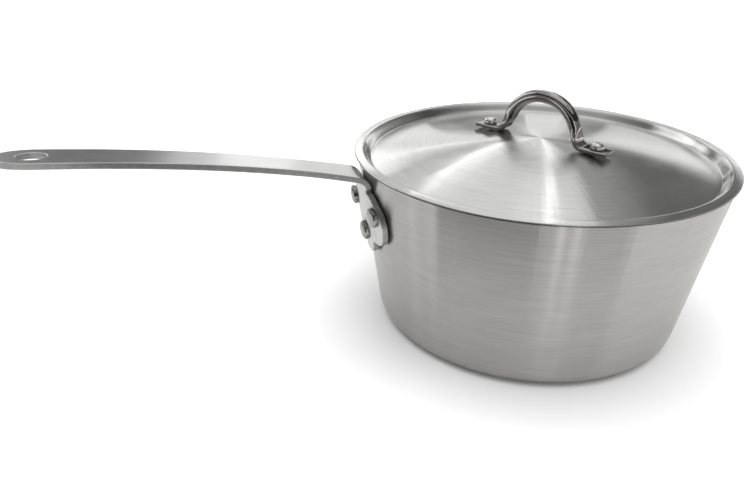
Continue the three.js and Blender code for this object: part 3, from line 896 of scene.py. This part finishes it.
def handle_patches(pot, handle):
    """The plate's section carried along half of its outline and mirrored: across the upper face, round the
    edge and back across the lower face. Rows beside the hanging hole start at its wall, not at the middle."""
    path, through = handle_path(pot, handle)
    run = run_length(path)
    corner_z = pot.height - handle.root_drop
    outline = handle_outline(pot, handle, path)
    way = directions(outline)
    inward = np.stack([way[:, 1], -way[:, 0]], axis=1)
    inward[0] = (1.0, 0.0)
    inward[-1] = (-1.0, 0.0)
    edge = handle.edge
    inset = outline + inward * edge
    inset[0, 1] = 0.0
    inset[-1, 1] = 0.0
    order = np.maximum.accumulate(inset[:, 0]) + np.arange(len(inset)) * ROW_STEP

    hole_at = np.interp(-(handle.reach - handle.hole_from_tip), -path[:, 0], run)
    sweep = np.linspace(0, math.pi, HOLE_STEPS + 1)

    def oval(grown):
        """Half of the hanging hole's outline, grown all round."""
        along = hole_at - (handle.hole_length / 2 + grown) * np.cos(sweep)
        sideways = (handle.hole_width / 2 + grown) * np.sin(sweep)
        sideways[[0, -1]] = 0.0
        return np.stack([along, sideways], axis=1)

    beside = oval(edge)
    hole_wall = oval(0.0)

    def rows_at(places):
        """Inset point and outline point of the rows at these runs along the path."""
        pick = [np.interp(places, order, column) for column in (*inset.T, *outline.T)]
        return np.stack(pick[:2], axis=1), np.stack(pick[2:], axis=1)

    before = order[order < beside[0, 0] - ROW_ROOM]
    after = order[order > beside[-1, 0] + ROW_ROOM]
    tip_rows = np.append(before, beside[0, 0])
    bar_rows = np.append(beside[-1, 0], after)

    quarter = np.linspace(0, math.pi / 2, EDGE_STEPS + 1)
    out_share = np.concatenate([np.sin(quarter), np.sin(quarter[::-1])])
    sunk = edge * (1 - np.cos(quarter))
    out_depth = np.concatenate([sunk, handle.thick - sunk[::-1]])
    across = np.linspace(0, 1, ACROSS_STEPS + 1)[:-1]

    def section(start, inner, outer, wall):
        """Rows of (run, sideways, depth): the upper face from start to inner, the edge to outer, the lower
        face, and the hole's wall where there is one."""
        upper = start[:, None] + (inner - start)[:, None] * across[:, None]
        rim = inner[:, None] + (outer - inner)[:, None] * out_share[:, None]
        columns = [upper, rim, upper[:, ::-1]]
        depths = [np.zeros(ACROSS_STEPS), out_depth, np.full(ACROSS_STEPS, handle.thick)]
        if wall is not None:
            bore = start[:, None] + (wall - start)[:, None] * out_share[::-1, None]
            columns.append(bore)
            depths.append(out_depth[::-1])
        flat = np.concatenate(columns, axis=1)
        depth = np.broadcast_to(np.concatenate(depths), flat.shape[:2])
        return np.concatenate([flat, depth[..., None]], axis=-1)

    flat_columns = np.zeros(ACROSS_STEPS)
    rim_columns = np.where(out_share > CUT_FROM, 1.0, 0.0)
    cut_columns = np.concatenate([flat_columns, rim_columns, flat_columns, rim_columns])

    grids = []
    for places, wall in ((tip_rows, None), (beside[:, 0], hole_wall), (bar_rows, None)):
        inner, outer = rows_at(places)
        middle = np.stack([inner[:, 0], np.zeros(len(inner))], axis=1)
        grids.append(section(middle if wall is None else beside, inner, outer, wall))

    patches = []
    for grid in grids:
        s, y, depth = np.moveaxis(grid, -1, 0)
        out = np.interp(s, run, path[:, 0]) + np.interp(s, run, through[:, 0]) * depth
        out = np.minimum(out, handle.reach)
        up = np.interp(s, run, path[:, 1]) + np.interp(s, run, through[:, 1]) * depth
        back = handle.flatter_by - np.sqrt((out + handle.flatter_by) ** 2 - y**2)
        for side in (-1, 1):
            points = np.stack([back, side * y, up], axis=-1)
            surface_map = np.stack([side * (y + depth), s], axis=-1)
            # Painted shade: from the bend down the flange is darker, for the dim table it would mirror, and
            # rougher.
            flange_shade = np.interp(corner_z - up, [0.0, handle.bend_inside], [0.0, handle.flange_painted_shade])
            cut = np.maximum(cut_columns[: points.shape[1]], flange_shade)
            if side > 0:
                points = points[:, ::-1]
                surface_map = surface_map[:, ::-1]
                cut = cut[:, ::-1]
            patches.append((points, surface_map, cut))
    return patches


class SAUCEPAN_OT_handle(bpy.types.Operator):
    """Build the flat-bar handle with its flange"""

    bl_idname = "saucepan.handle"
    bl_label = "Handle"

    def execute(self, context):
        pot = context.scene.saucepan_pot
        handle = context.scene.saucepan_handle
        piece = skin("bar_handle", handle_patches(pot, handle), finish_of("satin_bar", context))
        fitted(piece, "long_handle", "pot")
        return {"FINISHED"}


def turned_to(points, place, way):
    """Points made along Z, with Z turned to a direction and moved to a place."""
    turn = np.array(Vector((0, 0, 1)).rotation_difference(way).to_matrix())
    return points @ turn.T + np.array(place)


def flange_seat(pot, handle, y, z):
    """Where a rivet sits on the flange's curve at a place sideways and a height, the direction that it points
    outwards and how far its shank reaches in. The curve is a circle larger than the wall's."""
    lines = PotLines(pot)
    wall = lines.radius(z)
    curve = wall + (FIT_GAP + handle.thick) / math.cos(lines.taper) + handle.flatter_by
    x = handle.flatter_by - math.sqrt(curve**2 - y**2)
    turn = math.atan2(y, handle.flatter_by / 2 - x)
    way = Vector((-math.cos(turn), math.sin(turn), -lines.slope)).normalized()
    stand_off = -x - math.sqrt(wall**2 - y**2)
    return (x, y, z), way, stand_off * math.cos(lines.taper) + pot.wall


class SAUCEPAN_OT_handle_rivets(bpy.types.Operator):
    """Build the three rivets that hold the handle's flange"""

    bl_idname = "saucepan.handle_rivets"
    bl_label = "Handle rivets"

    def execute(self, context):
        pot = context.scene.saucepan_pot
        handle = context.scene.saucepan_handle
        upper = pot.height - handle.upper_drop
        lower = pot.height - handle.lower_drop
        seats = {
            "upper_left": (handle.spacing / 2, upper),
            "upper_right": (-handle.spacing / 2, upper),
            "lower": (0.0, lower),
        }
        for name, (y, z) in seats.items():
            place, way, reach = flange_seat(pot, handle, y, z)
            points, surface_map = turned(rivet_profile(handle, reach), RIVET_TURNS)
            patch = (turned_to(points, place, way), surface_map)
            piece = skin("bar_rivet_" + name, [patch], finish_of("painted_shade_rivet", context))
            fitted(piece, "handle_rivet_" + name, "pot")
        return {"FINISHED"}


def lid_patch(lines, lid):
    """The sheet's section carried round the axis. Its midline is a curved crown, a step in an S and a sloping
    lip. The section lies half the sheet to either side of it and ends in a half-round edge, whose lower part
    is darkened as painted shade, the dark line under the lip, and which fades to a plain face at its top."""
    shoulder = (lines.groove / 2, lines.crown_z - lines.shoulder_drop)
    crown = bezier([(0, lines.crown_z), shoulder, (lines.groove, lines.groove_z)], CROWN_STEPS)
    lead = lid.step_width / 3
    end_slope = (lines.groove_z - shoulder[1]) / (lines.groove / 2)
    step = bezier(
        [
            (lines.groove, lines.groove_z),
            (lines.groove + lead, lines.groove_z + end_slope * lead),
            lines.lip_at(lines.step_top - lead),
            lines.lip_at(lines.step_top),
        ],
        STEP_STEPS,
    )
    lip_end = np.array(lines.lip_at(lid.lip_radius - lid.sheet / 2))
    midline = np.concatenate([crown, step[1:], lip_end[None]])
    way = directions(midline)
    offset = np.stack([-way[:, 1], way[:, 0]], axis=1) * lid.sheet / 2
    under = midline - offset
    over = midline + offset
    under[0, 0] = 0.0
    over[0, 0] = 0.0
    sweep = np.linspace(-math.pi / 2, math.pi / 2, 2 * EDGE_STEPS + 1)[1:-1, None]
    edge = lip_end + way[-1] * lid.sheet / 2 * np.cos(sweep) + offset[-1] * np.sin(sweep)
    points, surface_map = turned(np.concatenate([under, edge, over[::-1]]), TURNS)
    cut = np.zeros(points.shape[:2])
    # Painted shade: the lip's edge darkens towards its underside, for the shadow line under the lip.
    cut[len(under) : len(under) + len(edge)] = np.clip(1 - np.sin(sweep), 0, 1)
    return points, surface_map, cut


class SAUCEPAN_OT_lid(bpy.types.Operator):
    """Build the lid's sheet"""

    bl_idname = "saucepan.lid"
    bl_label = "Lid"

    def execute(self, context):
        lid = context.scene.saucepan_lid
        lines = LidLines(context.scene.saucepan_pot, lid)
        shell = skin("lid_shell", [lid_patch(lines, lid)], finish_of("turned_lid", context))
        fitted(shell, "lid", "lid")
        return {"FINISHED"}


def lid_turned(points, lid):
    """Points made with the grip along X, turned with the lid about Z."""
    turn = np.array(Matrix.Rotation(lid.turn, 3, "Z"))
    return points @ turn.T


# The grip's section is worked out to this many digits, so that its sides meet in clean zeros.
TURN_DIGITS = 12


def grip_foot(lines, grip):
    """Height of the feet's lower face: they rest on the crown where the legs turn out."""
    return lines.crown_top(grip.leg_out + grip.foot_bend / 2) + FIT_GAP


def grip_patch(lines, grip):
    """A superellipse carried along the arch: crest, leaning leg, bend and foot, mirrored. It is an oval on
    the arch and flattens and squares up towards the foot, whose end closes on its middle."""
    top_z = GRIP_TOP.z - grip.bar_depth / 2
    foot_z = grip_foot(lines, grip) + grip.foot_thick / 2
    crest_out = grip.leg_out - (top_z - foot_z) * math.tan(grip.leg_lean)
    crest_radius = (crest_out - grip.crest_flat) * math.tan((math.pi / 2 + grip.leg_lean) / 2)
    end = grip.leg_out + grip.rivet_from_leg + grip.foot_beyond
    coarse = rounded(
        [
            (0, top_z, 0),
            (crest_out, top_z, crest_radius),
            (grip.leg_out, foot_z, grip.foot_bend),
            (end, foot_z, 0),
        ]
    )
    coarse_run = run_length(coarse)
    whole = coarse_run[-1]
    leg_end = coarse_run[1 + FILLET_STEPS + 1]

    sweep = np.linspace(0, math.pi / 2, EDGE_STEPS + 1)
    closing = whole - grip.foot_edge * (1 - np.sin(sweep))
    run = np.concatenate([np.linspace(0, closing[0], GRIP_STEPS)[:-1], closing, [whole]])
    rounding = grip.foot_edge * (1 - np.cos(sweep))
    drawn_in = np.concatenate([np.zeros(GRIP_STEPS - 1), rounding, [grip.foot_edge]])
    open_share = np.append(np.ones(len(run) - 1), 0.0)

    at = np.stack([np.interp(run, coarse_run, column) for column in coarse.T], axis=1)
    way = np.stack([np.interp(run, coarse_run, column) for column in directions(coarse).T], axis=1)
    way = way / np.linalg.norm(way, axis=1)[:, None]
    flat = np.clip((run - leg_end + grip.flattened_run) / grip.flattened_run, 0, 1)
    flat = flat * flat * (3 - 2 * flat)
    half_width = (grip.bar_width + (grip.foot_width - grip.bar_width) * flat) / 2 - drawn_in
    half_depth = (grip.bar_depth + (grip.foot_thick - grip.bar_depth) * flat) / 2 - drawn_in
    power = 1 + (grip.foot_power - 1) * flat

    turn = np.linspace(0, 2 * math.pi, GRIP_SIDES + 1)
    turn[-1] = 0.0
    cos = np.round(np.cos(turn), TURN_DIGITS)
    sin = np.round(np.sin(turn), TURN_DIGITS)
    across = (half_width * open_share)[:, None] * np.sign(cos) * np.abs(cos) ** power[:, None]
    out = (half_depth * open_share)[:, None] * np.sign(sin) * np.abs(sin) ** power[:, None]
    sideways = at[:, :1] - out * way[:, 1:]
    height = at[:, 1:] + out * way[:, :1]
    right = np.stack([sideways, across, height], axis=-1)
    left = right[1:][::-1] * np.array([-1.0, 1.0, 1.0])
    whole_run = np.concatenate([-run[1:][::-1], run])
    around = np.linspace(0, 1, GRIP_SIDES + 1) * math.pi * grip.bar_width
    surface_map = np.stack(np.broadcast_arrays(around[None], whole_run[:, None]), axis=-1)
    return np.concatenate([left, right]), surface_map


class SAUCEPAN_OT_grip(bpy.types.Operator):
    """Build the lid's arched grip"""

    bl_idname = "saucepan.grip"
    bl_label = "Lid grip"

    def execute(self, context):
        lid = context.scene.saucepan_lid
        grip = context.scene.saucepan_grip
        lines = LidLines(context.scene.saucepan_pot, lid)
        points, surface_map = grip_patch(lines, grip)
        patch = (lid_turned(points, lid), surface_map)
        piece = skin("arched_grip", [patch], finish_of("arch_chrome", context))
        fitted(piece, "lid_handle", "lid")
        return {"FINISHED"}


class SAUCEPAN_OT_grip_rivets(bpy.types.Operator):
    """Build the two rivets that hold the lid's grip"""

    bl_idname = "saucepan.grip_rivets"
    bl_label = "Grip rivets"

    def execute(self, context):
        lid = context.scene.saucepan_lid
        grip = context.scene.saucepan_grip
        lines = LidLines(context.scene.saucepan_pot, lid)
        out = grip.leg_out + grip.rivet_from_leg
        foot_top = grip_foot(lines, grip) + grip.foot_thick
        under_lid = lines.crown_top(out + grip.tail) - lid.sheet
        profile = rivet_profile(grip, foot_top - under_lid)
        for name, side in (("left", -1), ("right", 1)):
            points, surface_map = turned(profile, RIVET_TURNS)
            placed = lid_turned(points + np.array([side * out, 0.0, foot_top]), lid)
            piece = skin("grip_rivet_" + name, [(placed, surface_map)], finish_of("bright_rivet", context))
            fitted(piece, "lid_rivet_" + name, "lid")
        return {"FINISHED"}


# Stage.

FLOOR_HALF = 6.0
CARD_CENTRE = np.array([0.0, 0.0, 0.1])
CARD_STEPS = 24
AMBIENT_LEVEL = 0.18
TABLE_LIFT = 0.30
TABLE_ROUGHNESS = 0.9
CORNER_REACH = 0.065
SUN_SPREAD = math.radians(70)
SUN_STRENGTH = 0.85 * math.pi

# Curved cards round the pan that only reflections see. Each has its left and right end, as turns to the right
# from the camera, and its lower and upper edge, as heights, all in degrees. Then come its lean, which is how
# far it turns for each degree that it rises, its distance and its brightness.
CARDS = {
    "room_left": (-112.0, -46.0, 0.0, 26.0, 0.0, 3.0, 0.30),
    "room_middle_left": (-44.0, -32.0, -20.0, 26.0, 0.0, 0.26, 0.14),
    "room_middle": (-32.0, 5.0, -20.0, 26.0, 0.0, 0.26, 0.02),
    "room_door": (5.0, 48.0, -16.0, 26.0, 0.0, 0.32, 0.35),
    "room_right": (48.0, 120.0, -16.0, 2.0, 0.0, 0.32, 1.65),
    "room_far_right": (120.0, 148.0, -16.0, 2.0, 0.0, 0.32, 0.45),
    "room_right_above": (48.0, 118.0, 2.0, 26.0, 0.0, 3.0, 0.30),
    "room_above": (-98.0, 118.0, 26.0, 48.0, 0.0, 3.0, 0.05),
    "room_high": (-112.0, 118.0, 48.0, 66.0, 0.0, 3.0, 0.55),
    "ceiling": (-180.0, 180.0, 66.0, 90.0, 0.0, 3.0, 1.0),
    "door_line_a": (14.1, 15.7, -16.0, 26.0, 0.0, 0.31, 4.2),
    "door_line_b": (21.2, 23.6, -16.0, 26.0, 0.0, 0.31, 2.9),
    "left_line_a": (-50.5, -46.5, -16.0, 3.0, 0.0, 0.32, 1.6),
    "left_line_b": (-63.5, -59.5, -16.0, 3.0, 0.0, 0.32, 2.0),
    "dark_back_right": (118.0, 174.8, 14.0, 66.0, -0.40, 3.0, 0.16),
    "half_back_right": (176.0, 180.5, 16.0, 66.0, -0.50, 2.95, 0.45),
    "dim_back_right": (167.5, 173.0, 22.0, 66.0, -0.50, 2.9, 0.40),
    "band_back_right": (156.0, 173.5, 3.0, 12.0, 0.0, 2.8, 1.5),
    "slit_back_right": (173.2, 177.0, 0.0, 19.0, 0.0, 2.7, 0.04),
    "low_back_right": (135.0, 177.0, -12.0, 4.0, 0.0, 0.45, 0.15),
    "low_back_left": (183.0, 200.0, -12.0, 10.5, 0.0, 0.45, 0.02),
    "low_far_left": (200.0, 230.0, -12.0, 3.0, 0.0, 0.45, 0.10),
    "slit_back_left": (182.6, 189.5, 0.0, 14.5, 0.0, 2.7, 0.04),
    "band_back_left": (186.0, 207.0, 10.5, 17.5, 0.0, 2.8, 0.98),
    "strip_back_left": (189.0, 208.0, 19.5, 20.5, 0.0, 2.75, 2.4),
    "band_low_left": (193.0, 207.0, 5.0, 11.0, 0.0, 2.8, 1.3),
    "dark_back_left": (212.0, 232.0, 0.0, 66.0, 0.0, 3.0, 0.16),
    "window_far_left": (232.0, 250.0, 12.0, 42.0, 0.0, 3.0, 2.0),
    "window_far_high": (250.0, 262.0, 36.0, 46.0, 0.0, 3.0, 2.0),
    "ceiling_back_left": (184.0, 212.0, 17.5, 66.0, 0.0, 3.0, 0.95),
    "dim_back_left": (189.0, 212.0, 20.8, 28.0, 0.0, 2.85, 0.50),
    "window_high": (184.0, 187.0, 22.0, 37.0, 1.1, 2.8, 2.8),
    "window_glow": (180.5, 185.5, 24.0, 40.0, 1.1, 2.9, 1.35),
    "ceiling_back": (176.0, 184.0, 18.0, 66.0, 0.0, 3.0, 1.1),
    "ceiling_lamp": (178.0, 179.8, 20.0, 66.0, -0.12, 2.8, 2.2),
    "bar_glow": (213.0, 227.0, 11.0, 28.0, 0.0, 0.45, 1.75),
}


def flat_sheet(name, half_side, material):
    """A level square on the ground round the origin."""
    corners = np.array([[-1, -1, 0], [1, -1, 0], [1, 1, 0], [-1, 1, 0]]) * half_side
    mesh = bpy.data.meshes.new(name)
    mesh.from_pydata(corners.tolist(), [], [(0, 1, 2, 3)])
    mesh.materials.append(material)
    sheet = bpy.data.objects.new(name, mesh)
    bpy.context.scene.collection.objects.link(sheet)


def glowing_card(name, settings):
    """Part of a sphere round the pan between two turns and two heights, which leans as it rises and glows."""
    left, right, low, high, lean, distance, brightness = settings
    height = np.radians(np.linspace(low, high, CARD_STEPS + 1))[:, None]
    turn = CAMERA_TURN + np.radians(np.linspace(left, right, CARD_STEPS + 1)) + lean * (height - height[0])
    out = np.cos(height)
    up = np.broadcast_to(np.sin(height), turn.shape)
    way = np.stack([out * np.cos(turn), out * np.sin(turn), up], axis=-1)
    material, tree, shader = plain_material(name)
    tree.nodes.remove(shader)
    glow = node(tree, "Emission", (0, 0), {"Color": WHITE, "Strength": brightness})
    feed(tree, tree.nodes["Material Output"], {"Surface": glow.outputs[0]})
    card = skin(name, [(CARD_CENTRE + way * distance, way[..., :2])], material)
    card.visible_camera = False
    card.visible_diffuse = False
    card.visible_shadow = False


def seen_directly(tree):
    """One for camera, mirror and see-through rays, and nothing for the rays that light things."""
    path = node(tree, "LightPath", (-800, 0)).outputs
    mirrored = maths(tree, "ADD", (-600, 0), path["Is Camera Ray"], path["Is Glossy Ray"])
    return maths(tree, "ADD", (-400, 0), mirrored, path["Is Transmission Ray"], use_clamp=True)


def table_material(base):
    """Pale matt table. Camera and mirror rays also see a little glow, which fades in the corner under the
    pan, so that it reads as white with a shadow."""
    material, tree, shader = plain_material("pale_table")
    corner = node(tree, "AmbientOcclusion", (-600, 300), {"Distance": CORNER_REACH})
    glow = maths(tree, "MULTIPLY", (-400, 300), corner.outputs["AO"], TABLE_LIFT)
    inputs = {
        "Base Color": (*base, 1.0),
        "Roughness": TABLE_ROUGHNESS,
        "Specular IOR Level": 0.0,
        "Emission Color": WHITE,
        "Emission Strength": maths(tree, "MULTIPLY", (-200, 0), seen_directly(tree), glow),
    }
    feed(tree, shader, inputs)
    return material


def white_surroundings():
    """A world that looks white and lights the table with a lower, even level."""
    world = bpy.data.worlds.new("white_surroundings")
    world.use_nodes = True
    tree = world.node_tree
    levels = {"Value": seen_directly(tree), "To Min": AMBIENT_LEVEL, "To Max": 1.0}
    level = node(tree, "MapRange", (-200, 0), levels)
    feed(tree, tree.nodes["Background"], {"Color": WHITE, "Strength": level.outputs["Result"]})
    return world


def overhead_lamp():
    """A very soft lamp above the pan that lights the table and leaves its shadow under the pan's flare."""
    lamp = bpy.data.lights.new("overhead_lamp", "SUN")
    lamp.angle = SUN_SPREAD
    lamp.energy = SUN_STRENGTH
    holder = bpy.data.objects.new("overhead_lamp", lamp)
    holder.visible_glossy = False
    bpy.context.scene.collection.objects.link(holder)


class SAUCEPAN_OT_stage(bpy.types.Operator):
    """Set the pale table, the white surroundings, the reflection cards and the camera"""

    bl_idname = "saucepan.stage"
    bl_label = "Stage"

    def execute(self, context):
        scene = context.scene
        scene.view_settings.view_transform = "Standard"
        flat_sheet("table", FLOOR_HALF, table_material(scene.saucepan_finishes.floor))
        for name, settings in CARDS.items():
            glowing_card(name, settings)
        scene.world = white_surroundings()
        overhead_lamp()
        lens = bpy.data.cameras.new("photo_view")
        lens.sensor_fit = "HORIZONTAL"
        lens.sensor_width = SENSOR_WIDTH
        lens.lens = CAMERA_LENS
        lens.clip_start = CAMERA_NEAR
        camera = bpy.data.objects.new("photo_view", lens)
        right = CAMERA_AHEAD.cross(CAMERA_UP).normalized()
        up = right.cross(CAMERA_AHEAD).normalized()
        axes = Matrix((right, up, -CAMERA_AHEAD.normalized())).transposed().to_4x4()
        camera.matrix_world = Matrix.Translation(CAMERA_PLACE) @ axes
        scene.collection.objects.link(camera)
        scene.camera = camera
        return {"FINISHED"}


# Panel and registration.

OPERATORS = (
    SAUCEPAN_OT_pot,
    SAUCEPAN_OT_handle,
    SAUCEPAN_OT_handle_rivets,
    SAUCEPAN_OT_lid,
    SAUCEPAN_OT_grip,
    SAUCEPAN_OT_grip_rivets,
    SAUCEPAN_OT_stage,
)


NOT_SIZES = {"rna_type", "name"}


class SAUCEPAN_PT_panel(bpy.types.Panel):
    """Lists what builds the saucepan"""

    bl_idname = "SAUCEPAN_PT_panel"
    bl_label = "Saucepan"
    bl_space_type = "VIEW_3D"
    bl_region_type = "UI"
    bl_category = "Saucepan"

    def draw(self, context):
        for operator in OPERATORS:
            self.layout.operator(operator.bl_idname)
        for settings in SETTINGS:
            group = getattr(context.scene, settings)
            box = self.layout.box()
            for key in group.bl_rna.properties.keys():
                if key not in NOT_SIZES:
                    box.prop(group, key)


SETTINGS = {
    "saucepan_pot": PotSizes,
    "saucepan_lid": LidSizes,
    "saucepan_grip": GripSizes,
    "saucepan_handle": HandleSizes,
    "saucepan_finishes": Finishes,
}


def register():
    """Registers the sizes, the operators and the panel."""
    for name, group in SETTINGS.items():
        bpy.utils.register_class(group)
        setattr(bpy.types.Scene, name, PointerProperty(type=group))
    for operator in OPERATORS:
        bpy.utils.register_class(operator)
    bpy.utils.register_class(SAUCEPAN_PT_panel)


def unregister():
    """Takes back what register did, in the opposite order."""
    bpy.utils.unregister_class(SAUCEPAN_PT_panel)
    for operator in reversed(OPERATORS):
        bpy.utils.unregister_class(operator)
    for name, group in reversed(SETTINGS.items()):
        delattr(bpy.types.Scene, name)
        bpy.utils.unregister_class(group)


def main():
    """Builds every piece and the stage."""
    register()
    bpy.ops.saucepan.pot()
    bpy.ops.saucepan.handle()
    bpy.ops.saucepan.handle_rivets()
    bpy.ops.saucepan.lid()
    bpy.ops.saucepan.grip()
    bpy.ops.saucepan.grip_rivets()
    bpy.ops.saucepan.stage()


if __name__ == "__main__":
    main()
